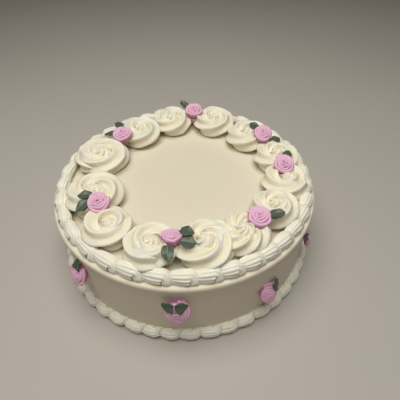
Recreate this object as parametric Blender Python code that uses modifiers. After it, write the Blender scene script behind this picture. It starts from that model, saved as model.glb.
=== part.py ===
"""Round layer cake: smooth iced body, piped swirls, two shell borders, sugar roses and leaves.

Metres, +Z up. The origin is the centre of the underside, and the front of the cake looks to -Y.
Angles are in degrees, anticlockwise from +X as seen from above.
"""
import math
import random

import bmesh
import bpy
from mathutils import Matrix, Vector
from mathutils.bvhtree import BVHTree

MM = 0.001

# Body
CAKE_RADIUS = 115.5 * MM
CAKE_HEIGHT = 70.5 * MM
RIM_ROUNDING = 2.5 * MM
RIM_SEGMENTS = 3
BODY_STEPS = 90

# Free space between pieces that touch, and what the bulge of a faceted curve adds to it
GAP = 0.3 * MM
FACET_SLACK = 0.1 * MM

# Swirls: angle, distance from the axis, radius and the angle at which the piping ends
SWIRLS = (
    (229, 87 * MM, 22.5 * MM, 60),
    (255.5, 87.5 * MM, 23.0 * MM, 305),
    (281, 83.5 * MM, 25.5 * MM, 110),
    (302, 86 * MM, 22.5 * MM, 60),
    (327, 87 * MM, 21.5 * MM, 90),
    (350, 90 * MM, 23.0 * MM, 20),
    (373, 88 * MM, 23.5 * MM, 80),
    (402, 84 * MM, 24.5 * MM, 130),
    (431, 88 * MM, 24.0 * MM, 180),
    (461, 86 * MM, 23.5 * MM, 220),
    (487, 80 * MM, 24.5 * MM, 250),
    (523, 82 * MM, 27.5 * MM, 280),
    (561, 80 * MM, 27.0 * MM, 330),
)
SWIRL_HEIGHT = 18.0 * MM
SWIRL_HEIGHT_SHARES = (0.93, 1.04)
SWIRL_LOBES = 6
SWIRL_TWIST = 115
SWIRL_RIDGE = 0.085
SWIRL_SPIRAL = 0.06
# Rings of a swirl from its foot to its crown: share of radius, share of height, share of ridge
SWIRL_RINGS = (
    (0.90, 0.00, 0.4),
    (1.00, 0.20, 0.8),
    (0.96, 0.48, 1.0),
    (0.81, 0.77, 1.0),
    (0.60, 0.92, 1.0),
    (0.38, 0.93, 0.9),
    (0.19, 0.90, 0.6),
)
# Across one lobe: crest, leeward flank and groove
LOBE_SHAPE = (1.0, 0.1, -1.0)
# Share of a ridge's swell that lifts it, beside what pushes it outwards
RIDGE_LIFT = 0.9

# Shell borders: fat head first met at this angle, then one shell a step, each tail under a head
TOP_SHELLS = 37
TOP_HEAD_ANGLE = 267.1
TOP_FOOT_RADIUS = 113.6 * MM
TOP_SHELL_HALF_WIDTH = 8.8 * MM
TOP_SHELL_HEIGHT = 8.8 * MM
# How far the top heads lag behind even steps, in degrees, twice round the cake, and its start
TOP_SWAY = 4.0
SWAY_START = 6.0
BOTTOM_SHELLS = 47
BOTTOM_HEAD_ANGLE = 262.0
BOTTOM_SHELL_WIDTH = 8.2 * MM
BOTTOM_SHELL_HEIGHT = 11.7 * MM
# Along one shell: place from tail to head, and size there
SHELL_STATIONS = ((0.03, 0.58), (0.42, 0.88), (0.9, 1.0))
# Ridges and grooves over a shell cut across: angle and share of its size
RIDGE = 1.0
GROOVE = 0.84
TOP_SWELL = ((180, RIDGE), (140, RIDGE), (104, RIDGE), (76, GROOVE), (52, RIDGE), (28, GROOVE), (3, RIDGE))
BOTTOM_SWELL = ((90, RIDGE), (68, RIDGE), (50, GROOVE), (32, RIDGE), (14, GROOVE), (0, RIDGE))
# Share of a top shell's width that a thin one keeps
WIDTH_KEPT = 0.75
# How far each shell strays along the border, in shells, and how thin the thinnest is
SHELL_STRAY = 0.08
SHELL_THINNEST = 0.9
# Angle on the rim's rounding down to which the top shells droop
DROOP_ANGLE = 78

# Roses
ROSE_RADIUS = 9.8 * MM
ROSE_HEIGHT = 9.0 * MM
SIDE_ROSE_RADIUS = 10.6 * MM
SIDE_ROSE_HEIGHT = 7.5 * MM
PETALS_A_TURN = 9
ROSE_STATIONS = 21
# Petal lips wind out from the heart to the edge; a groove runs outside each lip, lower down
HEART_SHARE = 0.08
LIP_SPREAD = 0.78
GROOVE_WIDTH = 0.13
ROSE_DOME = 0.5
GROOVE_DEPTH = 0.18
HEART_DEPTH = 0.06
PETAL_FLUTTER = 0.03
ROSE_FOOT = 0.88
# The hollow under a top rose: shares of its radius at its floor and its mouth, and floor bevel
HOLLOW_FLOOR = 0.92
HOLLOW_MOUTH = 1.06
HOLLOW_BEVEL = 2.5 * MM
HOLLOW_SIDES = 12
TOP_ROSE_BASE = CAKE_HEIGHT + 14.5 * MM
# Angle and distance of each top rose, the way it leans and by how much, its size, and its leaves:
# the side of the rose on which each one starts and the way it points
TOP_ROSES = (
    (215, 81 * MM, 268, 26, 0.97, ((138, 182), (183, 228))),
    (143, 78 * MM, 265, 12, 1.0, ((105, 116), (155, 166))),
    (85, 91.5 * MM, 268, 16, 1.0, ((135, 130),)),
    (31, 88 * MM, 268, 22, 1.0, ((115, 118), (335, 305))),
    (358, 87.5 * MM, 262, 24, 1.0, ((68, 64),)),
    (311, 88 * MM, 262, 12, 1.0, ((14, 12),)),
    (265.5, 85 * MM, 100, 14, 0.89, ((322, 352), (46, 332), (250, 276))),
)
# Angle, level, upward tilt and size of each side rose, and its leaves in the same way, 90 being
# straight up the wall
SIDE_ROSES = (
    (226, 46 * MM, 28, 0.97, ((84, 88),)),
    (268, 46 * MM, 22, 1.0, ((103, 186), (96, 358))),
    (303.7, 34.5 * MM, 25, 0.86, ((60, 345),)),
    (337.5, 36 * MM, 20, 0.72, ((118, 148),)),
    (381, 43 * MM, 25, 0.95, ((105, 160), (75, 25))),
    (423, 40 * MM, 30, 1.0, ((102, 150), (78, 30))),
    (464, 44 * MM, 25, 0.9, ((105, 165), (75, 20))),
    (505, 41 * MM, 30, 1.0, ((100, 155), (80, 35))),
    (547, 43 * MM, 25, 0.95, ((104, 150), (76, 35))),
)
# How far the middle of a tilted side rose stands off the wall, as a share of its radius at 90 degrees
SIDE_ROSE_STAND = 0.4

# Leaves
LEAF_LENGTH = 11.0 * MM
LEAF_WIDTH = 8.2 * MM
LEAF_THICKNESS = 0.9 * MM
LEAF_FOLD = 0.9 * MM
LEAF_WAVE = 0.35 * MM
LEAF_CLEARANCE = 0.45 * MM
# A wall leaf is this share of a top leaf. It starts over the rose, this far from its middle, on a
# surface that is this far from the wall there and nears it upwards and to both sides, to the floor
WALL_LEAF_SHARE = 0.80
WALL_LEAF_START = 8.6 * MM
WALL_LEAF_LIFT = 9.8 * MM
WALL_LEAF_RISE = 0.5
WALL_LEAF_FALL = 26.0
WALL_LEAF_FLOOR = 0.9 * MM
# Along a leaf: place from root to tip, and share of the width there
LEAF_ROWS = ((0.0, 0.35), (0.3, 0.95), (0.66, 0.75))
LEAF_SAMPLES = 6
LEAF_STEEPEST = 0.3

CREAM = ("buttercream", (0.86, 0.80, 0.65), 0.45)
PINK = ("rose_icing", (0.63, 0.28, 0.55), 0.5)
GREEN = ("leaf_icing", (0.055, 0.11, 0.07), 0.35)

RANDOM = random.Random(7)


def clear_scene():
    for item in list(bpy.data.objects):
        bpy.data.objects.remove(item, do_unlink=True)


def make_collection(name):
    group = bpy.data.collections.new(name)
    bpy.context.scene.collection.children.link(group)
    return group


def material(finish, name):
    kind, colour, roughness = finish
    mat = bpy.data.materials.new(f"{kind}_{name}")
    mat.use_nodes = True
    shader = mat.node_tree.nodes["Principled BSDF"]
    shader.inputs["Base Color"].default_value = (*colour, 1.0)
    shader.inputs["Roughness"].default_value = roughness
    shader.inputs["Metallic"].default_value = 0.0
    return mat


def add_object(name, bm, group, finish=None):
    bmesh.ops.recalc_face_normals(bm, faces=bm.faces)
    mesh = bpy.data.meshes.new(name)
    bm.to_mesh(mesh)
    bm.free()
    item = bpy.data.objects.new(name, mesh)
    group.objects.link(item)
    if finish:
        mesh.materials.append(material(finish, name))
        mesh.shade_smooth()
        mesh.set_sharp_from_angle(angle=math.radians(50))
    else:
        item.hide_render = True
        item.display_type = "WIRE"
    return item


def polar(radius, degrees, height=0.0):
    angle = math.radians(degrees)
    return Vector((radius * math.cos(angle), radius * math.sin(angle), height))


def loft(rings, closed=False, foot=False, crown=None):
    """Skin a list of equal rings of points; a foot is a flat end, and a crown is a top point."""
    bm = bmesh.new()
    rows = [[bm.verts.new(point) for point in ring] for ring in rings]
    count = len(rows[0])
    pairs = list(zip(rows, rows[1:]))
    if closed:
        pairs.append((rows[-1], rows[0]))
    for low, high in pairs:
        for j in range(count):
            k = (j + 1) % count
            bm.faces.new((low[j], low[k], high[k], high[j]))
    if foot:
        bm.faces.new(rows[0])
    if crown is not None:
        top = bm.verts.new(crown)
        for j in range(count):
            bm.faces.new((rows[-1][j], rows[-1][(j + 1) % count], top))
    return bm


def turned(name, profile, steps, group, finish=None, hollow=False):
    """Screw a profile of (radius, height) points, given down its outer side, round the Z axis."""
    bm = bmesh.new()
    verts = [bm.verts.new((radius, 0.0, height)) for radius, height in profile]
    for a, b in zip(verts, verts[1:]):
        bm.edges.new((a, b))
    if hollow:
        bm.edges.new((verts[-1], verts[0]))
    mesh = bpy.data.meshes.new(name)
    bm.to_mesh(mesh)
    bm.free()
    item = bpy.data.objects.new(name, mesh)
    group.objects.link(item)
    screw = item.modifiers.new("turn", "SCREW")
    screw.axis = "Z"
    screw.angle = 2 * math.pi
    screw.steps = steps
    screw.render_steps = steps
    screw.use_merge_vertices = True
    screw.merge_threshold = 0.01 * MM
    screw.use_smooth_shade = finish is not None
    if finish:
        mesh.materials.append(material(finish, name))
    else:
        item.hide_render = True
        item.display_type = "WIRE"
    return item


def rim_arc(offset, start, end, segments):
    """Points round the top edge of the body, offset outwards, between two angles of the arc."""
    radius = RIM_ROUNDING + offset
    centre = (CAKE_RADIUS - RIM_ROUNDING, CAKE_HEIGHT - RIM_ROUNDING)
    points = []
    for i in range(segments + 1):
        angle = math.radians(start + (end - start) * i / segments)
        points.append((centre[0] + radius * math.cos(angle), centre[1] + radius * math.sin(angle)))
    return points


def make_body(group):
    profile = [(0.0, CAKE_HEIGHT)]
    profile += rim_arc(0.0, 90, 0, RIM_SEGMENTS)
    profile += [(CAKE_RADIUS, 0.0), (0.0, 0.0)]
    return turned("cake_body", profile, BODY_STEPS, group, CREAM)


def top_shell_section(size):
    """Outline of the top border, cut across: over the shell, then back along the rim below it."""
    floor = CAKE_HEIGHT + GAP
    half_width = TOP_SHELL_HALF_WIDTH * (WIDTH_KEPT + (1 - WIDTH_KEPT) * size)
    centre = TOP_FOOT_RADIUS - half_width
    height = TOP_SHELL_HEIGHT * size
    points = []
    for degrees, share in TOP_SWELL:
        angle = math.radians(degrees)
        points.append((centre + half_width * share * math.cos(angle),
                       floor + height * share * math.sin(angle)))
    return points + rim_arc(GAP + FACET_SLACK, DROOP_ANGLE, 90, 2)


def bottom_shell_section(size):
    """Outline of the bottom border, cut across: up the wall, then over the shell to the floor."""
    wall = CAKE_RADIUS + GAP
    points = [(wall, 0.0)]
    for degrees, share in BOTTOM_SWELL:
        angle = math.radians(degrees)
        points.append((wall + BOTTOM_SHELL_WIDTH * size * share * math.cos(angle),
                       BOTTOM_SHELL_HEIGHT * size * share * math.sin(angle)))
    return points


def make_border(name, count, head_angle, sway, section, group):
    step = 360 / count
    rings = []
    for k in range(count):
        lag = RANDOM.uniform(-SHELL_STRAY, SHELL_STRAY)
        plump = RANDOM.uniform(SHELL_THINNEST, 1.0)
        for place, size in SHELL_STATIONS:
            degrees = (k + place - 1 + lag) * step
            drift = sway * (math.cos(math.radians(2 * degrees - SWAY_START)) - 1)
            angle = head_angle + degrees + drift
            rings.append([polar(radius, angle, height) for radius, height in section(size * plump)])
    return add_object(name, loft(rings, closed=True), group, CREAM)


def swirl_rings(radius, height, tail_angle, start_angle):
    """Rings of a piped swirl: its ridges run inwards and anticlockwise from the foot to the crown."""
    columns = SWIRL_LOBES * len(LOBE_SHAPE)
    rings = []
    for share, level, depth in SWIRL_RINGS:
        ring = []
        for j in range(columns):
            ridge = LOBE_SHAPE[j % len(LOBE_SHAPE)] * SWIRL_RIDGE * depth
            degrees = start_angle + 360 * j / columns + SWIRL_TWIST * (1 - share)
            turn = ((degrees - tail_angle) / 360) % 1.0
            spread = 1 + SWIRL_SPIRAL * (2 * turn - 1) * min(1.0, share * 1.5)
            reach = radius * share * spread * (1 + ridge)
            ring.append(polar(reach, degrees, height * level * (1 + RIDGE_LIFT * ridge * share)))
        rings.append(ring)
    return rings


def swirl_centre(index):
    angle, distance = SWIRLS[index % len(SWIRLS)][:2]
    return polar(distance, angle, CAKE_HEIGHT + GAP)


def cut_flat(bm, point, normal):
    """Trim a solid flat at a plane: what lies beyond it goes, and the cut is closed."""
    cut = bmesh.ops.bisect_plane(
        bm, geom=bm.verts[:] + bm.edges[:] + bm.faces[:], dist=0.001 * MM,
        plane_co=point, plane_no=normal, clear_outer=True)
    edges = [item for item in cut["geom_cut"] if isinstance(item, bmesh.types.BMEdge)]
    if edges:
        bmesh.ops.holes_fill(bm, edges=edges)
    bmesh.ops.triangulate(bm, faces=[face for face in bm.faces if len(face.verts) > 3])


def cut_at_neighbour(bm, index, other):
    """Trim a swirl flat where it presses against the next one, half a gap short of it."""
    here, there = swirl_centre(index), swirl_centre(other)
    own = SWIRLS[index % len(SWIRLS)][2]
    theirs = SWIRLS[other % len(SWIRLS)][2]
    across = there - here
    normal = across.normalized()
    reach = (across.length + own - theirs) / 2 - GAP / 2
    cut_flat(bm, normal * reach, normal)


def make_swirl(index, group, rooms):
    radius, tail = SWIRLS[index][2:]
    height = SWIRL_HEIGHT * RANDOM.uniform(*SWIRL_HEIGHT_SHARES)
    rings = swirl_rings(radius, height, tail, RANDOM.uniform(0, 60))
    bm = loft(rings, foot=True, crown=Vector((0, 0, height)))
    bmesh.ops.triangulate(bm, faces=bm.faces)
    cut_at_neighbour(bm, index, index + 1)
    cut_at_neighbour(bm, index, index - 1)
    item = add_object(f"swirl_{index + 1:02d}", bm, group, CREAM)
    item.location = swirl_centre(index)
    cut = item.modifiers.new("rooms", "BOOLEAN")
    cut.operation = "DIFFERENCE"
    cut.operand_type = "COLLECTION"
    cut.collection = rooms
    cut.solver = "EXACT"
    return item


def make_border_room(rooms):
    """The room that the top border takes up under the swirls."""
    floor = CAKE_HEIGHT - RIM_ROUNDING
    margin = 2 * GAP
    half_width = TOP_SHELL_HALF_WIDTH + margin
    height = TOP_SHELL_HEIGHT + margin + GAP
    centre = TOP_FOOT_RADIUS - TOP_SHELL_HALF_WIDTH
    profile = [(centre - half_width, floor)]
    for degrees in range(180, -1, -20):
        angle = math.radians(degrees)
        profile.append((centre + half_width * math.cos(angle),
                        CAKE_HEIGHT + height * math.sin(angle)))
    profile.append((centre + half_width, floor))
    return turned("top_border_room", profile, BODY_STEPS, rooms, hollow=True)


def make_rose_mesh(radius, height, start_angle):
    """A rose of one petal ribbon wound outwards: its lip stands above the groove outside it."""
    bm = bmesh.new()
    turn = PETALS_A_TURN
    lips, grooves, feet = [], [], []
    for i in range(ROSE_STATIONS + 1):
        degrees = start_angle + 360 * i / turn
        lip = radius * (HEART_SHARE + LIP_SPREAD * i / ROSE_STATIONS)
        groove = lip + radius * GROOVE_WIDTH
        lip_level = height * (1 - ROSE_DOME * (lip / radius) ** 2)
        groove_level = height * (1 - GROOVE_DEPTH - ROSE_DOME * (groove / radius) ** 2)
        flutter = height * PETAL_FLUTTER * (-1) ** i
        lips.append(bm.verts.new(polar(lip, degrees, lip_level + flutter)))
        grooves.append(bm.verts.new(polar(groove, degrees, groove_level)))
    for j in range(turn):
        feet.append(bm.verts.new(polar(ROSE_FOOT * radius, start_angle + 360 * j / turn)))
    heart = bm.verts.new((0.0, 0.0, height * (1 - HEART_DEPTH)))
    last = ROSE_STATIONS
    for i in range(last):
        bm.faces.new((lips[i], lips[i + 1], grooves[i + 1], grooves[i]))
    for i in range(last - turn):
        bm.faces.new((grooves[i], grooves[i + 1], lips[i + 1 + turn], lips[i + turn]))
    for i in range(turn):
        bm.faces.new((heart, lips[i], lips[i + 1]))
    bm.faces.new((heart, lips[turn], grooves[0], lips[0]))
    for i in range(last - turn, last):
        bm.faces.new((grooves[i], grooves[i + 1], feet[(i + 1) % turn], feet[i % turn]))
    bm.faces.new((grooves[last - turn], lips[last], grooves[last], feet[last % turn]))
    bm.faces.new(feet)
    bmesh.ops.triangulate(bm, faces=bm.faces)
    return bm


def lean(direction, degrees):
    """Turn the Z axis towards a direction in plan."""
    axis = polar(1.0, direction + 90)
    return Matrix.Rotation(math.radians(degrees), 4, axis)


def top_rose_place(index):
    angle, distance, direction, degrees = TOP_ROSES[index][:4]
    return Matrix.Translation(polar(distance, angle, TOP_ROSE_BASE)) @ lean(direction, degrees)


def make_top_rose(index, group):
    size = TOP_ROSES[index][4]
    bm = make_rose_mesh(ROSE_RADIUS * size, ROSE_HEIGHT * size, 40 * index)
    item = add_object(f"top_rose_{index + 1}", bm, group, PINK)
    item.matrix_world = top_rose_place(index)
    return item


def make_rose_room(index, rooms):
    """The hollow that a top rose presses into the swirls under it."""
    radius = ROSE_RADIUS * TOP_ROSES[index][4]
    wide = radius * HOLLOW_MOUTH + GAP
    narrow = radius * HOLLOW_FLOOR + GAP
    levels = ((narrow, -GAP), (wide, HOLLOW_BEVEL), (wide, 3 * ROSE_HEIGHT))
    rings = [[polar(reach, 360 * j / HOLLOW_SIDES, height) for j in range(HOLLOW_SIDES)]
             for reach, height in levels]
    bm = loft(rings, foot=True)
    bmesh.ops.holes_fill(bm, edges=bm.edges)
    item = add_object(f"top_rose_room_{index + 1}", bm, rooms)
    item.matrix_world = top_rose_place(index)
    return item


def wall_frame(angle, level):
    """A frame on the wall: its Z axis points out of the cake and its Y axis points up."""
    out = polar(1.0, angle)
    along = polar(1.0, angle + 90)
    turn = Matrix((along, Vector((0, 0, 1)), out)).transposed().to_4x4()
    return Matrix.Translation(polar(CAKE_RADIUS, angle, level)) @ turn


def make_side_rose(index, group):
    """A rose that tilts upwards, its back cut flat where it presses on the wall."""
    angle, level, tilt, size = SIDE_ROSES[index][:4]
    radius = SIDE_ROSE_RADIUS * size
    bm = make_rose_mesh(radius, SIDE_ROSE_HEIGHT * size, 70 * index)
    stand = SIDE_ROSE_STAND * radius * math.sin(math.radians(tilt))
    bm.transform(Matrix.Translation((0, 0, stand)) @ lean(90, tilt))
    cut_flat(bm, Vector((0, 0, GAP)), Vector((0, 0, -1)))
    item = add_object(f"side_rose_{index + 1}", bm, group, PINK)
    item.matrix_world = wall_frame(angle, level)
    return item


def leaf_points(place, size):
    """Rows of points of a leaf laid by place(along, across, lift), root first, then its tip."""
    rows = []
    for n, (share, width) in enumerate(LEAF_ROWS):
        row = []
        for side in (-1, 0, 1):
            lift = LEAF_FOLD * abs(side) + LEAF_WAVE * side * (-1) ** n
            row.append(place(share * size * LEAF_LENGTH, side * width * size * LEAF_WIDTH / 2, lift))
        rows.append(row)
    return rows, place(size * LEAF_LENGTH, 0.0, LEAF_FOLD)


def make_leaf(name, place, size, group):
    rows, tip = leaf_points(place, size)
    bm = bmesh.new()
    grid = [[bm.verts.new(point) for point in row] for row in rows]
    for low, high in zip(grid, grid[1:]):
        bm.faces.new((low[0], low[1], high[1], high[0]))
        bm.faces.new((low[1], low[2], high[2], high[1]))
    end = bm.verts.new(tip)
    bm.faces.new((grid[-1][0], grid[-1][1], end))
    bm.faces.new((grid[-1][1], grid[-1][2], end))
    bmesh.ops.triangulate(bm, faces=bm.faces)
    item = add_object(name, bm, group, GREEN)
    solid = item.modifiers.new("thickness", "SOLIDIFY")
    solid.thickness = LEAF_THICKNESS
    solid.offset = 1.0
    return item


def surface_trees(items):
    bpy.context.view_layer.update()
    graph = bpy.context.evaluated_depsgraph_get()
    trees = []
    for item in items:
        bm = bmesh.new()
        bm.from_object(item, graph)
        bm.transform(item.matrix_world)
        trees.append(BVHTree.FromBMesh(bm))
        bm.free()
    return trees


def surface_height(trees, x, y):
    """Height of the highest surface under a point."""
    height = CAKE_HEIGHT
    for tree in trees:
        hit = tree.ray_cast(Vector((x, y, 2 * CAKE_HEIGHT)), Vector((0, 0, -1)))[0]
        if hit:
            height = max(height, hit.z)
    return height


def place_on_top(rose, start_side, direction, trees):
    """Lay a leaf beside a top rose, on the highest ridges under it, sloping as they do."""
    angle, distance = TOP_ROSES[rose][:2]
    way = polar(1.0, direction)
    side = polar(1.0, direction + 90)
    start = polar(distance, angle) + polar(ROSE_RADIUS * TOP_ROSES[rose][4] + GAP, start_side)

    def ground(along, across):
        spot = start + way * along + side * across
        return surface_height(trees, spot.x, spot.y)

    near = ground(0.1 * LEAF_LENGTH, 0.0)
    far = ground(0.9 * LEAF_LENGTH, 0.0)
    slope = max(-LEAF_STEEPEST, min(LEAF_STEEPEST, (far - near) / LEAF_LENGTH))
    lift_off = 0.0
    for i in range(LEAF_SAMPLES + 1):
        for j in range(-2, 3):
            along = LEAF_LENGTH * i / LEAF_SAMPLES
            across = LEAF_WIDTH * j / 4
            lift_off = max(lift_off, ground(along, across) - slope * along)

    def place(along, across, lift):
        spot = start + way * along + side * across
        spot.z = lift_off + slope * along + LEAF_CLEARANCE + lift
        return spot

    return place


def place_on_wall(rose, start_side, direction):
    """Lay a leaf from the upper side of a side rose, over its petals, down to the wall."""
    angle, level, tilt, size = SIDE_ROSES[rose][:4]
    turn = math.radians(direction)
    way = Vector((math.cos(turn), math.sin(turn)))
    side = Vector((-way.y, way.x))
    start = polar(WALL_LEAF_START, start_side).to_2d()

    def place(along, across, lift):
        spot = start + way * along + side * across
        degrees = angle + math.degrees(spot.x / CAKE_RADIUS)
        reach = WALL_LEAF_LIFT * size - WALL_LEAF_RISE * spot.y - WALL_LEAF_FALL * spot.x ** 2
        reach = max(reach, WALL_LEAF_FLOOR) + lift
        return polar(CAKE_RADIUS + reach, degrees, level + spot.y)

    return place


def make_leaves(group, trees):
    """Lay the leaves, each one on top of what lies there already, other leaves too."""
    count = 0
    for rose, spec in enumerate(TOP_ROSES):
        for start_side, direction in spec[5]:
            count += 1
            place = place_on_top(rose, start_side, direction, trees)
            trees += surface_trees([make_leaf(f"top_leaf_{count:02d}", place, 1.0, group)])
    count = 0
    for rose, spec in enumerate(SIDE_ROSES):
        for start_side, direction in spec[4]:
            count += 1
            place = place_on_wall(rose, start_side, direction)
            make_leaf(f"side_leaf_{count:02d}", place, WALL_LEAF_SHARE, group)


def main():
    clear_scene()
    cake = make_collection("layer_cake")
    rooms = make_collection("cutters")
    body = make_body(cake)
    top_border = make_border("top_border", TOP_SHELLS, TOP_HEAD_ANGLE, TOP_SWAY, top_shell_section, cake)
    make_border("bottom_border", BOTTOM_SHELLS, BOTTOM_HEAD_ANGLE, 0.0, bottom_shell_section, cake)
    make_border_room(rooms)
    for index in range(len(TOP_ROSES)):
        make_top_rose(index, cake)
        make_rose_room(index, rooms)
    for index in range(len(SIDE_ROSES)):
        make_side_rose(index, cake)
    swirls = [make_swirl(index, cake, rooms) for index in range(len(SWIRLS))]
    make_leaves(cake, surface_trees([body, top_border] + swirls))


main()
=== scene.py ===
"""Looks of the layer cake: smooth iced body, piped swirls, shell borders, sugar roses and leaves.

Metres, +Z up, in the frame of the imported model: the origin is the centre of the underside and the
front of the cake looks to -Y. Angles in the tables are degrees, anticlockwise from +X from above.
"""
import math
import random

import bmesh
import bpy
from mathutils import Matrix, Vector, noise
from mathutils.bvhtree import BVHTree


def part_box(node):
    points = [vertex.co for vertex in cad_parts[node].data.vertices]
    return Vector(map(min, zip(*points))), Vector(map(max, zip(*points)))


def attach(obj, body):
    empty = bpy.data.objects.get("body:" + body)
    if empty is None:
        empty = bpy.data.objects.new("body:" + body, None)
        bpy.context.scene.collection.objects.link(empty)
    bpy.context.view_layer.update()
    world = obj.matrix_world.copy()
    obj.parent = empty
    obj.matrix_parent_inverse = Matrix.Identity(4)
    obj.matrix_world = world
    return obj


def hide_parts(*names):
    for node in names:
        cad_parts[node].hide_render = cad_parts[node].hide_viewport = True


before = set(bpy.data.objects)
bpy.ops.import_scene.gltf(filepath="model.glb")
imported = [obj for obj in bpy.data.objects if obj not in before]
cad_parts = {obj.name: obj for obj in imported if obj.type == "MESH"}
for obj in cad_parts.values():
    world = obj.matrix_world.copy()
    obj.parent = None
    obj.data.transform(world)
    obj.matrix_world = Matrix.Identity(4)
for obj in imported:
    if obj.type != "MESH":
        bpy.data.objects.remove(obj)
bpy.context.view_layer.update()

MM = 0.001
TURN = 2 * math.pi

# Body, read from the frame
BODY_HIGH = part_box("cake_body")[1]
CAKE_RADIUS = BODY_HIGH.x
CAKE_HEIGHT = BODY_HIGH.z
RIM_ROUNDING = 2.5 * MM
# The spread icing stands out this far at the rim, and draws in over this height below it
RIM_LIP = 1.6 * MM
LIP_REACH = 9.0 * MM
# The wall's foot draws in a little. Steps up the wall, over the rim, across the top and round
FOOT_INSET = 0.6 * MM
WALL_STEPS = 32
RIM_STEPS = 8
TOP_STEPS = 24
BODY_STEPS = 240
# The spread coat rises and falls by the swell, in waves of about 1 / scale, inside the true size
COAT_SCALE = 18
COAT_SWELL = 0.35 * MM
COAT_INSET = 0.3 * MM

# Swirls: angle, distance, radius, angle of the tail, turns, twist of the ridges, first ridge
SWIRLS = (
    (229, 87 * MM, 22.5 * MM, 62, 1.65, 0.35, 0.10),
    (255.5, 87.5 * MM, 23.5 * MM, 322, 1.72, 0.45, 0.55),
    (281, 84.5 * MM, 25.5 * MM, 110, 1.70, 0.85, 0.00),
    (302, 86 * MM, 22.5 * MM, 60, 1.55, 1.70, 0.30),
    (327, 87 * MM, 21.5 * MM, 90, 1.65, 0.70, 0.65),
    (350, 90 * MM, 23.5 * MM, 20, 1.55, 0.55, 0.15),
    (373, 88 * MM, 23.0 * MM, 80, 1.60, 0.75, 0.55),
    (402, 84 * MM, 24.5 * MM, 130, 1.70, 0.80, 0.25),
    (431, 88 * MM, 24.0 * MM, 180, 1.65, 0.60, 0.80),
    (461, 86 * MM, 23.5 * MM, 220, 1.60, 0.75, 0.40),
    (487, 80 * MM, 24.5 * MM, 250, 1.70, 0.65, 0.05),
    (523, 82 * MM, 27.5 * MM, 280, 1.75, 0.60, 0.70),
    (561, 80 * MM, 27.0 * MM, 330, 1.65, 0.70, 0.35),
)
SWIRL_HEIGHT = 18.0 * MM
SWIRL_LOBES = 5
SWIRL_DEPTH = 0.38
# Columns of faces on each lobe, and stations a turn
STRAND_COLUMNS = 12
STRAND_STATIONS = 70
CROWN_COLUMNS = 8
CROWN_STATIONS = 18
# How far the tip of a crown strays from the middle at most, and the sway of a strand's skin
TIP_DRIFT = Vector((0.8, -0.5, 0)) * MM
STRAND_SWAY = 1.0 * MM
SWAY_SCALE = 90

# Roses on top: angle, distance, direction and degrees of lean, size, and for each leaf the side
# of the rose on which it starts and the way it points
ROSE_RADIUS = 9.8 * MM
ROSE_HEIGHT = 8.9 * MM
SIDE_ROSE_RADIUS = 10.6 * MM
SIDE_ROSE_HEIGHT = 6.9 * MM
ROSE_TURNS = 4.1
SIDE_ROSE_TURNS = 3.8
# Seeds of the wall's roses and leaves follow on from those on top
WALL_ROSE_SEED = 20
WALL_LEAF_SEED = 30
TOP_ROSE_BASE = CAKE_HEIGHT + 14.5 * MM
TOP_ROSES = (
    (215, 81 * MM, 268, 26, 0.97, ((138, 182), (183, 228))),
    (143, 78 * MM, 265, 12, 1.0, ((105, 116), (155, 166))),
    (85, 91.5 * MM, 268, 16, 1.0, ((135, 130),)),
    (31, 88 * MM, 268, 22, 1.0, ((115, 118), (335, 305))),
    (358, 87.5 * MM, 262, 24, 1.0, ((68, 64),)),
    (311, 88 * MM, 262, 12, 1.0, ((14, 12),)),
    (265.5, 85 * MM, 100, 14, 0.89, ((322, 352), (46, 332), (250, 276))),
)
# Roses on the wall: angle, level, upward tilt, size, and leaves in the same way, where 90 is
# straight up the wall. The middle of a tilted rose stands off the wall by a share of its radius
SIDE_ROSES = (
    (226, 46 * MM, 28, 0.97, ((84, 88),)),
    (268, 46 * MM, 22, 1.0, ((103, 186), (96, 358))),
    (303.7, 34.5 * MM, 25, 0.86, ((60, 345),)),
    (337.5, 36 * MM, 20, 0.72, ((118, 148),)),
    (381, 43 * MM, 25, 0.95, ((105, 160), (75, 25))),
    (423, 40 * MM, 30, 1.0, ((102, 150), (78, 30))),
    (464, 44 * MM, 25, 0.9, ((105, 165), (75, 20))),
    (505, 41 * MM, 30, 1.0, ((100, 155), (80, 35))),
    (547, 43 * MM, 25, 0.95, ((104, 150), (76, 35))),
)
SIDE_ROSE_STAND = 0.4
ROSE_SINK = -0.35 * MM
LEAF_LENGTH = 11.4 * MM
LEAF_WIDTH = 8.8 * MM
LEAF_THICKNESS = 0.8 * MM
LEAF_FOLD = 1.2 * MM
LEAF_WAVE = 0.45 * MM
# The places along a leaf where the height of its node is read, and how far it sinks below that
LEAF_PROBES = (0.2, 0.8)
LEAF_SINK = 0.3 * MM
# How far a top leaf's root reaches in under its rose
LEAF_TUCK = 0.4 * MM
# A wall leaf is this share of a top leaf. It starts over the rose, this far from its middle, on a
# surface that is this far from the wall there and nears it upwards and to both sides, to the floor
WALL_LEAF_SHARE = 0.80
WALL_LEAF_START = 8.6 * MM
WALL_LEAF_LIFT = 9.6 * MM
WALL_LEAF_RISE = 0.5
WALL_LEAF_FALL = 26.0
WALL_LEAF_FLOOR = 0.7 * MM

# Borders: shells round the cake, where the first head ends, and how far the heads lag
TOP_SHELLS = 37
TOP_HEAD_ANGLE = 267.1
TOP_SWAY = 4.0
SWAY_START = 6.0
BOTTOM_SHELLS = 47
BOTTOM_HEAD_ANGLE = 262.0

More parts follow.
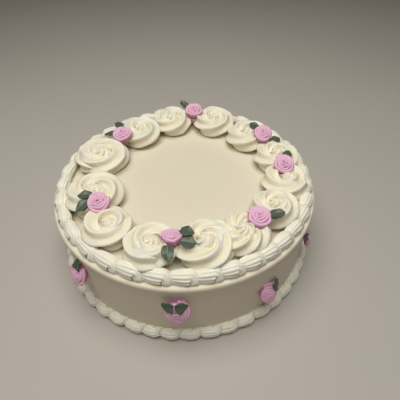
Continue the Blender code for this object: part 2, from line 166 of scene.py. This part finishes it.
# One shell of a border. The bend at its head lies in a plane that leans by the slope: swell is
# the half width out of that plane, width the half width in it, and bend the radius of the middle
TOP_SHAPE = {
    "ridges": 9, "columns": 6, "depth": 0.13, "slope": 40, "radius": 107.8 * MM, "level": 73.2 * MM,
    "swell": 5.6 * MM, "width": 6.4 * MM, "bend": 3.2 * MM, "foot": 3.4 * MM, "swing": 90,
    "knob": 0.80, "tail": 0.76, "hump": 1.3 * MM, "side": 1,
}
BOTTOM_SHAPE = {
    "ridges": 8, "columns": 6, "depth": 0.14, "slope": 50, "radius": 117.1 * MM, "level": 5.4 * MM,
    "swell": 5.0 * MM, "width": 5.0 * MM, "bend": 4.0 * MM, "foot": 0.0, "swing": 100,
    "knob": 0.85, "tail": 0.80, "hump": 0.8 * MM, "side": -1,
}
# How far a shell's tail runs on behind the head before it, and how the shells differ
TAIL_OVERLAP = 4.5 * MM
SHELL_SWAY = 0.5 * MM
SHELL_LAG = 0.5
SHELL_THINNEST = 0.92
# Faces round the hidden side of a shell, and the arc of its ridged side in degrees
UNDERSIDE_COLUMNS = 6
RIDGED_ARC = (-40, 220)

# The camera stands where the one that took the photo did: its focal length in pixels, the side of
# the square photo, its place, and how many degrees it looks down and rolls
FOCAL_PIXELS = 340
PHOTO_PIXELS = 400
CAMERA_PLACE = Vector((13.65, -238.14, 276.08)) * MM
CAMERA_PITCH = 44.53
CAMERA_ROLL = -0.75

# One large soft lamp overhead and a faint even glow
LAMP_PLACE = Vector((-0.06, -0.12, 1.0))
LAMP_AIM = Vector((0, 0, 0.05))
LAMP_POWER = 9.3
LAMP_SIZE = 0.90
LAMP_COLOUR = (0.965, 0.95, 0.885)
GLOW_COLOUR = (1.0, 0.97, 0.93, 1.0)
GLOW_POWER = 0.05

RANDOM = random.Random(11)


def polar(radius, degrees, height=0.0):
    angle = math.radians(degrees)
    return Vector((radius * math.cos(angle), radius * math.sin(angle), height))


def smooth(x):
    x = max(0.0, min(1.0, x))
    return x * x * (3 - 2 * x)


def mix(a, b, share):
    return a + (b - a) * share


def star_wave(share):
    """Height across one lobe of a star tip's strand: near 1 on the crests, 0 in the round groove."""
    return 1 - math.hypot(math.sin(math.pi * (share % 1.0)), 0.12)


def pipe(sides, stations, place):
    """Pipe a strand: a ring is extruded from station to station and closed at both ends.

    place(station, side) gives a point and how near it is to a ridge's crest.
    """
    bm = bmesh.new()
    lane = bm.verts.layers.int.new("lane")
    # The crest share of each vertex picks its colour: painted shade where it is low, the crest colour where
    # it is high
    crest = bm.verts.layers.float.new("crest")
    ring = bmesh.ops.create_circle(bm, segments=sides, radius=1.0)["verts"]
    edges = list({edge for vert in ring for edge in vert.link_edges})
    for side, vert in enumerate(ring):
        vert[lane] = side
        vert.co, vert[crest] = place(0, side)
    first, last = ring, ring
    for station in range(1, stations):
        grown = bmesh.ops.extrude_edge_only(bm, edges=edges)["geom"]
        last = [item for item in grown if isinstance(item, bmesh.types.BMVert)]
        edges = [item for item in grown if isinstance(item, bmesh.types.BMEdge) and item.is_boundary]
        for vert in last:
            vert.co, vert[crest] = place(station, vert[lane])
    for end in (first, last):
        centre = sum((vert.co for vert in end), Vector()) / len(end)
        bmesh.ops.pointmerge(bm, verts=end, merge_co=centre)
    bmesh.ops.recalc_face_normals(bm, faces=bm.faces)
    return bm


def gather(whole, part):
    """Move the faces of one bmesh into another."""
    mesh = bpy.data.meshes.new("part")
    part.to_mesh(mesh)
    part.free()
    whole.from_mesh(mesh)
    bpy.data.meshes.remove(mesh)


def finish_piece(name, bm, mat, nodes=()):
    mesh = bpy.data.meshes.new(name)
    bm.to_mesh(mesh)
    bm.free()
    mesh.shade_smooth()
    mesh.materials.append(mat)
    piece = bpy.data.objects.new(name, mesh)
    bpy.context.scene.collection.objects.link(piece)
    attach(piece, "root")
    if nodes:
        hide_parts(*nodes)
    return piece


def new_group(name, inputs, outputs):
    group = bpy.data.node_groups.new(name, "ShaderNodeTree")
    for label, kind, value in inputs:
        socket = group.interface.new_socket(label, in_out="INPUT", socket_type=kind)
        socket.default_value = value
    for label, kind in outputs:
        group.interface.new_socket(label, in_out="OUTPUT", socket_type=kind)
    return group, group.nodes.new("NodeGroupInput"), group.nodes.new("NodeGroupOutput")


def icing_grain_group():
    """Fine grain and soft dimples of spread icing, as a bump and a change of roughness."""
    group, source, sink = new_group(
        "icing_grain",
        (("Scale", "NodeSocketFloat", 400.0), ("Dimples", "NodeSocketFloat", 60.0),
         ("Strength", "NodeSocketFloat", 0.2), ("Roughness", "NodeSocketFloat", 0.45)),
        (("Normal", "NodeSocketVector"), ("Roughness", "NodeSocketFloat")))
    nodes, links = group.nodes, group.links
    place = nodes.new("ShaderNodeTexCoord")
    fine = nodes.new("ShaderNodeTexNoise")
    fine.inputs["Detail"].default_value = 4.0
    soft = nodes.new("ShaderNodeTexNoise")
    soft.inputs["Detail"].default_value = 2.0
    links.new(place.outputs["Object"], fine.inputs["Vector"])
    links.new(place.outputs["Object"], soft.inputs["Vector"])
    links.new(source.outputs["Scale"], fine.inputs["Scale"])
    links.new(source.outputs["Dimples"], soft.inputs["Scale"])
    low = nodes.new("ShaderNodeBump")
    low.inputs["Distance"].default_value = 0.4 * MM
    high = nodes.new("ShaderNodeBump")
    high.inputs["Distance"].default_value = 0.15 * MM
    links.new(source.outputs["Strength"], low.inputs["Strength"])
    links.new(source.outputs["Strength"], high.inputs["Strength"])
    links.new(soft.outputs["Fac"], low.inputs["Height"])
    links.new(fine.outputs["Fac"], high.inputs["Height"])
    links.new(low.outputs["Normal"], high.inputs["Normal"])
    links.new(high.outputs["Normal"], sink.inputs["Normal"])
    shift = nodes.new("ShaderNodeMath")
    shift.operation = "MULTIPLY_ADD"
    shift.inputs[1].default_value = 0.25
    links.new(soft.outputs["Fac"], shift.inputs[0])
    links.new(source.outputs["Roughness"], shift.inputs[2])
    links.new(shift.outputs["Value"], sink.inputs["Roughness"])
    return group


def painted_shade_and_mottle_group():
    """Colour of piped icing: painted shade deeper in the creases, a paler painted highlight on the crests,
    and a faint mottle of its own.
    """
    group, source, sink = new_group(
        "painted_shade_and_mottle",
        (("Crest", "NodeSocketColor", (1, 1, 1, 1)), ("Crease Shade", "NodeSocketColor", (1, 1, 1, 1)),
         ("Mottle", "NodeSocketFloat", 0.1), ("Scale", "NodeSocketFloat", 40.0)),
        (("Color", "NodeSocketColor"),))
    nodes, links = group.nodes, group.links
    crest = nodes.new("ShaderNodeAttribute")
    crest.attribute_name = "crest"
    place = nodes.new("ShaderNodeTexCoord")
    cloud = nodes.new("ShaderNodeTexNoise")
    cloud.inputs["Detail"].default_value = 3.0
    links.new(place.outputs["Object"], cloud.inputs["Vector"])
    links.new(source.outputs["Scale"], cloud.inputs["Scale"])
    sway = nodes.new("ShaderNodeMath")
    sway.operation = "SUBTRACT"
    sway.inputs[1].default_value = 0.5
    links.new(cloud.outputs["Fac"], sway.inputs[0])
    share = nodes.new("ShaderNodeMath")
    share.operation = "MULTIPLY_ADD"
    share.use_clamp = True
    links.new(sway.outputs["Value"], share.inputs[0])
    links.new(source.outputs["Mottle"], share.inputs[1])
    links.new(crest.outputs["Fac"], share.inputs[2])
    # The crest share blends the painted crease shade into the crest colour; the mottle is the icing's own
    # uneven tone
    blend = nodes.new("ShaderNodeMix")
    blend.data_type = "RGBA"
    links.new(share.outputs["Value"], blend.inputs["Factor"])
    links.new(source.outputs["Crease Shade"], blend.inputs[6])
    links.new(source.outputs["Crest"], blend.inputs[7])
    links.new(blend.outputs[2], sink.inputs["Color"])
    return group


def icing_material(name, grain, shade_and_mottle, crest, crease_shade, mottle, tint_scale, grain_values, roughness, depth):
    mat = bpy.data.materials.new(name)
    mat.use_nodes = True
    nodes, links = mat.node_tree.nodes, mat.node_tree.links
    shader = nodes["Principled BSDF"]
    colour = nodes.new("ShaderNodeGroup")
    colour.node_tree = shade_and_mottle
    # The crease colour is painted shade; the crest colour is the colour on the ridges
    colour.inputs["Crest"].default_value = (*crest, 1.0)
    colour.inputs["Crease Shade"].default_value = (*crease_shade, 1.0)
    colour.inputs["Mottle"].default_value = mottle
    colour.inputs["Scale"].default_value = tint_scale
    skin = nodes.new("ShaderNodeGroup")
    skin.node_tree = grain
    skin.inputs["Scale"].default_value = grain_values[0]
    skin.inputs["Dimples"].default_value = grain_values[1]
    skin.inputs["Strength"].default_value = grain_values[2]
    skin.inputs["Roughness"].default_value = roughness
    links.new(colour.outputs["Color"], shader.inputs["Base Color"])
    links.new(skin.outputs["Normal"], shader.inputs["Normal"])
    links.new(skin.outputs["Roughness"], shader.inputs["Roughness"])
    shader.inputs["Subsurface Weight"].default_value = depth[0]
    shader.inputs["Subsurface Radius"].default_value = depth[1]
    shader.inputs["Subsurface Scale"].default_value = depth[2]
    return mat


def swirl_path(spec, t):
    """Centre of a swirl's strand after t turns, in the swirl's own place, and its half widths."""
    angle, distance, radius, tail, turns, twist, first = spec
    opening = smooth(t / 0.8)
    spread = max(0.0, t - 0.5) / (turns - 0.5)
    ending = smooth((turns - t) / 0.18)
    reach = radius * (0.16 + 0.34 * opening + 0.11 * spread + 0.07 * (1 - ending))
    wide = radius * mix(0.16, 0.40, smooth(t / 0.6)) * mix(0.15, 1.0, ending)
    tall = SWIRL_HEIGHT * mix(0.34, 0.54, smooth(t / 0.4)) * mix(0.25, 1.0, ending)
    level = SWIRL_HEIGHT * mix(0.56, 0.46, opening) * mix(0.5, 1.0, ending)
    degrees = tail + 360 * (t - turns)
    return polar(reach, degrees, level), wide, tall, degrees


def swirl_strand(spec, seed):
    """The strand of a swirl, a star tip's section wound outwards from the middle."""
    angle, distance, radius, tail, turns, twist, first = spec
    sides = SWIRL_LOBES * STRAND_COLUMNS
    stations = int(STRAND_STATIONS * turns)
    step = turns / (stations - 1)

    def place(station, side):
        t = station * step
        spot, wide, tall, degrees = swirl_path(spec, t)
        along = (swirl_path(spec, t + 0.01)[0] - swirl_path(spec, t - 0.01)[0]).normalized()
        out = polar(1.0, degrees)
        out = (out - along * out.dot(along)).normalized()
        up = out.cross(along)
        psi = TURN * (side / sides + twist * t + first / SWIRL_LOBES)
        wave = star_wave(side / STRAND_COLUMNS)
        fold = (1 - SWIRL_DEPTH * (1 - wave)) * min(1.0, station / 7) ** 0.5
        point = spot + out * (wide * fold * math.cos(psi)) + up * (tall * fold * math.sin(psi))
        sway = noise.noise(point * SWAY_SCALE + seed) * STRAND_SWAY
        point += (out * math.cos(psi) + up * math.sin(psi)) * sway
        point.z = max(point.z, 0.1 * MM)
        # wave is also the crest share: painted shade in the grooves, a paler painted highlight on the crests
        return point, wave

    return pipe(sides, stations, place)


def swirl_crown(spec, seed):
    """The star-shaped dome in the middle of a swirl, its ridges winding up to a soft tip."""
    radius, first = spec[2], spec[6]
    sides = SWIRL_LOBES * CROWN_COLUMNS

    def place(station, side):
        climb = station / (CROWN_STATIONS - 1)
        wave = star_wave(side / CROWN_COLUMNS)
        share = math.cos(climb * math.pi / 2) ** 0.8
        degrees = 360 * side / sides + 72 * first + 150 * climb
        reach = 0.36 * radius * share * (1 - 0.34 * (1 - wave))
        level = SWIRL_HEIGHT * mix(0.40, 0.97, math.sin(climb * math.pi / 2) ** 1.2)
        level -= SWIRL_HEIGHT * 0.05 * (1 - wave) * share
        point = polar(max(reach, 0.02 * MM), degrees, level)
        # wave is also the crest share: painted shade in the grooves between the crown's ridges, paler
        # painted highlight on them
        return point + TIP_DRIFT * climb * noise.noise(seed), wave

    return pipe(sides, CROWN_STATIONS, place)


def make_swirl(index, mat):
    spec = SWIRLS[index]
    seed = Vector((index * 3.7, 1.3, 0.0))
    bm = bmesh.new()
    gather(bm, swirl_strand(spec, seed))
    gather(bm, swirl_crown(spec, seed))
    bm.transform(Matrix.Translation(polar(spec[1], spec[0], CAKE_HEIGHT)))
    return finish_piece(f"piped_swirl_{index + 1:02d}", bm, mat, [f"swirl_{index + 1:02d}"])


def round_wave(share):
    """Height across one ridge of a fine tip's strand: 0 in the sharp crease, 1 on the round back."""
    return math.sin(math.pi * (share % 1.0)) ** 0.42


def shell_stations(shape):
    """Stations of one shell: swing of the bend, length of foot, share of the run, how far open."""
    swing, foot = shape["swing"], shape["foot"]
    stations = [(swing, foot * (1 - i / 4), 0.0, (0.3, 0.72, 0.9, 0.98)[i]) for i in range(4)]
    stations += [(swing * (1 - i / 9), 0.0, 0.0, 1.0) for i in range(10)]
    for i in range(1, 13):
        run = i / 12
        stations.append((0.0, 0.0, run, math.sqrt(max(0.0, 1 - (max(0.0, run - 0.72) / 0.31) ** 2))))
    return stations


def pipe_shell(head_angle, length, plump, shape, seed):
    """One shell, ridged from end to end: it starts at the foot, bends over and runs to its tail."""
    ridged = shape["ridges"] * shape["columns"]
    stations = shell_stations(shape)
    slope = math.radians(shape["slope"])
    width, swell, bend = shape["width"] * plump, shape["swell"] * plump, shape["bend"]
    start = -(bend + width * shape["knob"])
    path = length + start
    low, high = (math.radians(degrees) for degrees in RIDGED_ARC)

    def place(station, side):
        swing, foot, run, open_share = stations[station]
        progress = station / (len(stations) - 1)
        size = mix(shape["knob"], 1.0, smooth(progress / 0.5))
        size *= mix(1.0, shape["tail"], smooth((progress - 0.62) / 0.38)) * open_share
        turn = math.radians(swing)
        wander = noise.noise(Vector((progress * 4, side * 0.15, seed)))
        if side <= ridged:
            psi = mix(low, high, side / ridged)
            # wave is also the crest share: painted shade in the creases between ridges
            wave = round_wave(side / shape["columns"])
            fold = 1 - shape["depth"] * (1 - wave) * (1 + 0.6 * wander)
        else:
            psi = mix(high, low + TURN, (side - ridged) / UNDERSIDE_COLUMNS)
            # The hidden underside gets a low crest share of 0.3: painted shade underneath
            wave = 0.3
            fold = 1.0
        reach = bend + width * size * fold * math.cos(psi)
        along = start + reach * math.sin(turn) + foot * math.cos(turn) - run * path
        inward = shape["side"] * (reach * math.cos(turn) - bend - foot * math.sin(turn))
        outward = swell * size * fold * math.sin(psi) + SHELL_SWAY * wander
        outward += shape["hump"] * math.sin(math.pi * smooth(progress))
        radius = shape["radius"] - inward * math.cos(slope) + outward * math.sin(slope)
        level = shape["level"] + inward * math.sin(slope) + outward * math.cos(slope)
        sway = noise.noise(Vector((radius * SWAY_SCALE, along * SWAY_SCALE, seed))) * SHELL_SWAY
        degrees = head_angle + math.degrees((along + sway) / radius)
        return polar(radius, degrees, max(level, 0.05 * MM)), wave

    return pipe(ridged + UNDERSIDE_COLUMNS, len(stations), place)


def make_border(name, node, head_angles, shape, mat):
    bm = bmesh.new()
    for k, head_angle in enumerate(head_angles):
        step = (head_angle - head_angles[k - 1]) % 360
        length = math.radians(step) * shape["radius"] + TAIL_OVERLAP
        lag = RANDOM.uniform(-SHELL_LAG, SHELL_LAG)
        plump = RANDOM.uniform(SHELL_THINNEST, 1.0)
        gather(bm, pipe_shell(head_angle + lag, length, plump, shape, k * 5.3))
    return finish_piece(name, bm, mat, [node])


def top_head_angles():
    """Heads of the top border: the steps are longer on two sides of the cake than between them."""
    angles = []
    for k in range(TOP_SHELLS):
        degrees = 360 * k / TOP_SHELLS
        lag = TOP_SWAY * (math.cos(math.radians(2 * degrees - SWAY_START)) - 1)
        angles.append(TOP_HEAD_ANGLE + degrees + lag)
    return angles


def bottom_head_angles():
    return [BOTTOM_HEAD_ANGLE + 360 * k / BOTTOM_SHELLS for k in range(BOTTOM_SHELLS)]


def rose_bmesh(radius, height, turns, seed):
    """A rose of petal ribbon wound outwards from the heart, each petal's edge over the last one's."""
    rng = random.Random(seed)
    stations = int(turns * 36)
    petals = [0.0]
    while petals[-1] < turns:
        petals.append(petals[-1] + rng.uniform(0.26, 0.36) * (1 + 0.25 * petals[-1] / turns))
    spacing = 0.80 * radius / turns
    section = ((-1.15, 0.0), (-0.95, 0.6), (-0.55, 0.88), (-0.25, 0.97), (0.0, 1.0),
               (0.25, 0.99), (0.48, 0.93), (0.64, 0.75), (0.58, 0.4), (0.2, 0.0))

    def place(station, side):
        t = turns * station / (stations - 1)
        k = max(i for i, start in enumerate(petals) if start <= t + 1e-9)
        along = (t - petals[k]) / (petals[min(k + 1, len(petals) - 1)] - petals[k] + 1e-9)
        lip = radius * 0.05 + spacing * t + spacing * 0.5 * (along - 0.5) * min(1.0, t)
        arch = 1 - 0.10 * abs(2 * along - 1) ** 3
        level = height * (1 - 0.52 * (lip / radius) ** 2) * arch
        level += height * 0.05 * noise.noise(Vector((t * 2.5, seed, 0)))
        offset, share = section[side]
        flare = 1 + 0.5 * t / turns
        spread = lip + offset * spacing * flare
        if share < 0.6:
            spread = min(spread, radius * (0.86 + 0.2 * share))
        spread = max(spread, 0.02 * radius)
        # The crest share paints shade: each petal darkens from its lip down into the folds between petals
        wave = share ** 3
        return polar(spread, 360 * t + 25 * seed, level * share), wave

    return pipe(len(section), stations, place)


def make_top_rose(index, mat):
    angle, distance, direction, degrees, size = TOP_ROSES[index][:5]
    bm = rose_bmesh(ROSE_RADIUS * size, ROSE_HEIGHT * size, ROSE_TURNS, index)
    bm.transform(Matrix.Translation(polar(distance, angle, TOP_ROSE_BASE)) @ lean(direction, degrees))
    return finish_piece(f"sugar_rose_{index + 1}", bm, mat, [f"top_rose_{index + 1}"])


def make_wall_rose(index, mat):
    """A rose that tilts upwards, its back cut flat where it presses into the wall."""
    angle, level, tilt, size = SIDE_ROSES[index][:4]
    radius = SIDE_ROSE_RADIUS * size
    bm = rose_bmesh(radius, SIDE_ROSE_HEIGHT * size, SIDE_ROSE_TURNS, index + WALL_ROSE_SEED)
    stand = SIDE_ROSE_STAND * radius * math.sin(math.radians(tilt))
    bm.transform(Matrix.Translation((0, 0, stand)) @ lean(90, tilt))
    cut = bmesh.ops.bisect_plane(
        bm, geom=bm.verts[:] + bm.edges[:] + bm.faces[:], dist=0.001 * MM,
        plane_co=(0, 0, ROSE_SINK), plane_no=(0, 0, -1), clear_outer=True)
    edges = [item for item in cut["geom_cut"] if isinstance(item, bmesh.types.BMEdge)]
    if edges:
        bmesh.ops.holes_fill(bm, edges=edges)
    bm.transform(wall_frame(angle, level))
    return finish_piece(f"wall_rose_{index + 1}", bm, mat, [f"side_rose_{index + 1}"])


def lean(direction, degrees):
    """Turn the Z axis towards a direction in plan."""
    return Matrix.Rotation(math.radians(degrees), 4, polar(1.0, direction + 90))


def wall_frame(angle, level):
    """A frame on the wall: its Z axis points out of the cake and its Y axis points up."""
    turn = Matrix((polar(1.0, angle + 90), Vector((0, 0, 1)), polar(1.0, angle))).transposed().to_4x4()
    return Matrix.Translation(polar(CAKE_RADIUS, angle, level)) @ turn


def leaf_outline(x):
    """Half width of a leaf at a share of its length."""
    return max(0.0, math.sin(math.pi * min(1.0, 0.12 + 0.88 * x ** 0.95))) ** 0.7 * (1 - 0.1 * x)


def make_leaf(name, node, place, size, mat, seed):
    """A leaf laid by place(along, across, lift): folded along its rib, veined and wavy."""
    bm = bmesh.new()
    long, wide = 22, 10
    crest = bm.verts.layers.float.new("crest")
    bmesh.ops.create_grid(bm, x_segments=long, y_segments=wide, size=1.0)
    for vert in bm.verts:
        x = vert.co.x / 2 + 0.5
        y = vert.co.y
        outline = leaf_outline(x)
        half = size * LEAF_WIDTH / 2 * outline
        vein = star_wave(x * 6 - abs(y) * 1.6) * min(1.0, 3 * abs(y))
        rib = math.exp(-(y * 7) ** 2)
        lift = LEAF_FOLD * abs(y) ** 1.3 * (1 - 0.5 * x)
        lift += LEAF_WAVE * y * math.sin(7 * x + seed) + 0.3 * MM * y * y * math.sin(11 * x + 2 * seed)
        lift += 0.22 * MM * (0.6 * vein - 0.9 * rib)
        lift *= min(1.0, 1.5 * outline)
        # The crest share paints highlight along the veins and shade by the midrib and between the veins
        vert[crest] = min(1.0, 0.3 + 0.7 * vein)
        vert.co = place(x * size * LEAF_LENGTH, y * half, lift)
    bmesh.ops.remove_doubles(bm, verts=bm.verts, dist=0.02 * MM)
    bmesh.ops.recalc_face_normals(bm, faces=bm.faces)
    bmesh.ops.solidify(bm, geom=bm.faces[:], thickness=LEAF_THICKNESS)
    bmesh.ops.recalc_face_normals(bm, faces=bm.faces)
    return finish_piece(name, bm, mat, [node])


def node_tree(node):
    bm = bmesh.new()
    bm.from_mesh(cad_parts[node].data)
    tree = BVHTree.FromBMesh(bm)
    bm.free()
    return tree


def lay_on_top(node, rose, start_side, direction):
    """Lay a leaf beside a top rose, as high and as steep as its node lies."""
    angle, distance = TOP_ROSES[rose][:2]
    way = polar(1.0, direction)
    side = polar(1.0, direction + 90)
    start = polar(distance, angle) + polar(ROSE_RADIUS * TOP_ROSES[rose][4] - LEAF_TUCK, start_side)
    tree = node_tree(node)
    low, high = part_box(node)

    def level(along):
        spot = start + way * along
        hit = tree.ray_cast(Vector((spot.x, spot.y, 1.0)), Vector((0, 0, -1)))[0]
        return hit.z if hit else (low[2] + high[2]) / 2

    root, tip = (share * LEAF_LENGTH for share in LEAF_PROBES)
    near = level(root)
    slope = (level(tip) - near) / (tip - root)

    def place(along, across, lift):
        spot = start + way * along + side * across
        spot.z = near + slope * (along - root) + lift - LEAF_SINK
        return spot

    return place


def lay_on_wall(rose, start_side, direction):
    """Lay a leaf from the upper side of a side rose, over its petals, down to the wall."""
    angle, level, tilt, size = SIDE_ROSES[rose][:4]
    turn = math.radians(direction)
    way = Vector((math.cos(turn), math.sin(turn)))
    side = Vector((-way.y, way.x))
    start = polar(WALL_LEAF_START, start_side).to_2d()

    def place(along, across, lift):
        spot = start + way * along + side * across
        degrees = angle + math.degrees(spot.x / CAKE_RADIUS)
        reach = WALL_LEAF_LIFT * size - WALL_LEAF_RISE * spot.y - WALL_LEAF_FALL * spot.x ** 2
        reach = max(reach, WALL_LEAF_FLOOR) + lift
        return polar(CAKE_RADIUS + reach, degrees, level + spot.y)

    return place


def make_roses(pink, green):
    count = 0
    for n, spec in enumerate(TOP_ROSES):
        make_top_rose(n, pink)
        for start_side, way in spec[5]:
            count += 1
            node = f"top_leaf_{count:02d}"
            place = lay_on_top(node, n, start_side, way)
            make_leaf(f"sugar_leaf_{count:02d}", node, place, 1.0, green, count)
    count = 0
    for n, spec in enumerate(SIDE_ROSES):
        make_wall_rose(n, pink)
        for start_side, way in spec[4]:
            count += 1
            node = f"side_leaf_{count:02d}"
            place = lay_on_wall(n, start_side, way)
            make_leaf(f"wall_leaf_{count:02d}", node, place, WALL_LEAF_SHARE, green, count + WALL_LEAF_SEED)


def make_body(mat):
    """The body's profile, spun round the axis, with the faint unevenness of a hand-spread coat."""
    bm = bmesh.new()
    reach, level = CAKE_RADIUS + RIM_LIP - RIM_ROUNDING, CAKE_HEIGHT - RIM_ROUNDING
    profile = [(0.0, 0.0), (CAKE_RADIUS * 0.5, 0.0), (CAKE_RADIUS - FOOT_INSET, 0.0)]
    for i in range(1, WALL_STEPS + 1):
        height = level * i / WALL_STEPS
        profile.append((CAKE_RADIUS + RIM_LIP * smooth((height - level) / LIP_REACH + 1), height))
    for i in range(1, RIM_STEPS + 1):
        angle = math.radians(90 * i / RIM_STEPS)
        profile.append((reach + RIM_ROUNDING * math.cos(angle), level + RIM_ROUNDING * math.sin(angle)))
    for i in range(1, TOP_STEPS + 1):
        profile.append((reach * (1 - i / TOP_STEPS), CAKE_HEIGHT))
    verts = [bm.verts.new((radius, 0.0, height)) for radius, height in profile]
    edges = [bm.edges.new(pair) for pair in zip(verts, verts[1:])]
    bmesh.ops.spin(
        bm, geom=verts + edges, cent=(0, 0, 0), axis=(0, 0, 1), angle=TURN, steps=BODY_STEPS, use_merge=True)
    bmesh.ops.remove_doubles(bm, verts=bm.verts, dist=0.005 * MM)
    crest = bm.verts.layers.float.new("crest")
    for vert in bm.verts:
        vert[crest] = 0.75
        if vert.co.z > 1 * MM:
            swell = noise.noise(vert.co * COAT_SCALE) * COAT_SWELL - COAT_INSET
            if vert.co.z > CAKE_HEIGHT - 0.1 * MM:
                vert.co.z += swell
            else:
                push = Vector((vert.co.x, vert.co.y, 0)).normalized()
                vert.co += push * swell
    bmesh.ops.recalc_face_normals(bm, faces=bm.faces)
    return finish_piece("iced_body", bm, mat, ["cake_body"])


def make_floor():
    bm = bmesh.new()
    bmesh.ops.create_grid(bm, x_segments=1, y_segments=1, size=4.0)
    mesh = bpy.data.meshes.new("floor")
    bm.to_mesh(mesh)
    bm.free()
    mat = bpy.data.materials.new("pale_floor")
    mat.use_nodes = True
    nodes, links = mat.node_tree.nodes, mat.node_tree.links
    shader = nodes["Principled BSDF"]
    place = nodes.new("ShaderNodeTexCoord")
    cloud = nodes.new("ShaderNodeTexNoise")
    cloud.inputs["Scale"].default_value = 3.0
    ramp = nodes.new("ShaderNodeValToRGB")
    ramp.color_ramp.elements[0].color = (0.50, 0.46, 0.42, 1)
    ramp.color_ramp.elements[1].color = (0.54, 0.50, 0.46, 1)
    links.new(place.outputs["Object"], cloud.inputs["Vector"])
    links.new(cloud.outputs["Fac"], ramp.inputs["Fac"])
    links.new(ramp.outputs["Color"], shader.inputs["Base Color"])
    shader.inputs["Roughness"].default_value = 0.7
    mesh.materials.append(mat)
    floor = bpy.data.objects.new("floor", mesh)
    bpy.context.scene.collection.objects.link(floor)


def make_lamp():
    data = bpy.data.lights.new("ceiling_lamp", "AREA")
    data.energy = LAMP_POWER
    data.color = LAMP_COLOUR
    data.shape = "DISK"
    data.size = LAMP_SIZE
    lamp = bpy.data.objects.new("ceiling_lamp", data)
    lamp.location = LAMP_PLACE
    lamp.rotation_euler = (LAMP_AIM - LAMP_PLACE).to_track_quat("-Z", "Y").to_euler()
    bpy.context.scene.collection.objects.link(lamp)


def make_camera():
    pitch, roll = math.radians(CAMERA_PITCH), math.radians(CAMERA_ROLL)
    ahead = Vector((0, math.cos(pitch), -math.sin(pitch)))
    across = Vector((1, 0, 0))
    above = across.cross(ahead)
    right = across * math.cos(roll) + above * math.sin(roll)
    up = above * math.cos(roll) - across * math.sin(roll)
    turn = Matrix((right, up, -ahead)).transposed().to_4x4()
    data = bpy.data.cameras.new("camera")
    data.lens = data.sensor_width * FOCAL_PIXELS / PHOTO_PIXELS
    data.clip_start = 0.01
    camera = bpy.data.objects.new("camera", data)
    camera.matrix_world = Matrix.Translation(CAMERA_PLACE) @ turn
    bpy.context.scene.collection.objects.link(camera)
    bpy.context.scene.camera = camera


def make_world():
    world = bpy.data.worlds.new("studio")
    bpy.context.scene.world = world
    world.use_nodes = True
    sky = world.node_tree.nodes["Background"]
    sky.inputs["Color"].default_value = GLOW_COLOUR
    sky.inputs["Strength"].default_value = GLOW_POWER


grain = icing_grain_group()
shade_and_mottle = painted_shade_and_mottle_group()
CREAM_DEPTH = (0.30, (1.0, 0.80, 0.52), 2.5 * MM)
SUGAR_DEPTH = (0.15, (1.0, 0.5, 0.6), 1.5 * MM)
# spread_buttercream and piped_buttercream are shaded and lit copies of one buttercream: the spread coat is
# painted darker, the piped cream paler. The spread coat's mottle is its own uneven tone
spread_cream = icing_material("spread_buttercream", grain, shade_and_mottle, (0.81, 0.745, 0.615), (0.785, 0.705, 0.55),
                              0.6, 14.0, (500.0, 35.0, 0.12), 0.42, CREAM_DEPTH)
# Piped cream: painted highlight on the crests, painted shade darker and yellower in the creases
piped_cream = icing_material("piped_buttercream", grain, shade_and_mottle, (0.95, 0.925, 0.83), (0.90, 0.82, 0.62),
                             0.3, 60.0, (900.0, 160.0, 0.12), 0.36, CREAM_DEPTH)
# Rose: the crest colour is the sugar's own pink, the much darker crease colour is painted shade in the petal
# folds
rose_sugar = icing_material("rose_sugar", grain, shade_and_mottle, (0.90, 0.54, 0.73), (0.54, 0.18, 0.36),
                            0.3, 120.0, (1500.0, 300.0, 0.15), 0.40, SUGAR_DEPTH)
# Leaf: the paler crest colour is a painted highlight along the veins, the crease colour painted shade
leaf_sugar = icing_material("leaf_sugar", grain, shade_and_mottle, (0.125, 0.155, 0.108), (0.055, 0.085, 0.056),
                            0.4, 150.0, (1500.0, 300.0, 0.2), 0.25, (0.0, (1.0, 1.0, 1.0), 1.0 * MM))

make_camera()
make_world()
make_floor()
make_lamp()
make_body(spread_cream)
make_border("top_shells", "top_border", top_head_angles(), TOP_SHAPE, piped_cream)
make_border("bottom_shells", "bottom_border", bottom_head_angles(), BOTTOM_SHAPE, piped_cream)
for number in range(len(SWIRLS)):
    make_swirl(number, piped_cream)
make_roses(rose_sugar, leaf_sugar)

bpy.context.scene.view_settings.view_transform = "Standard"
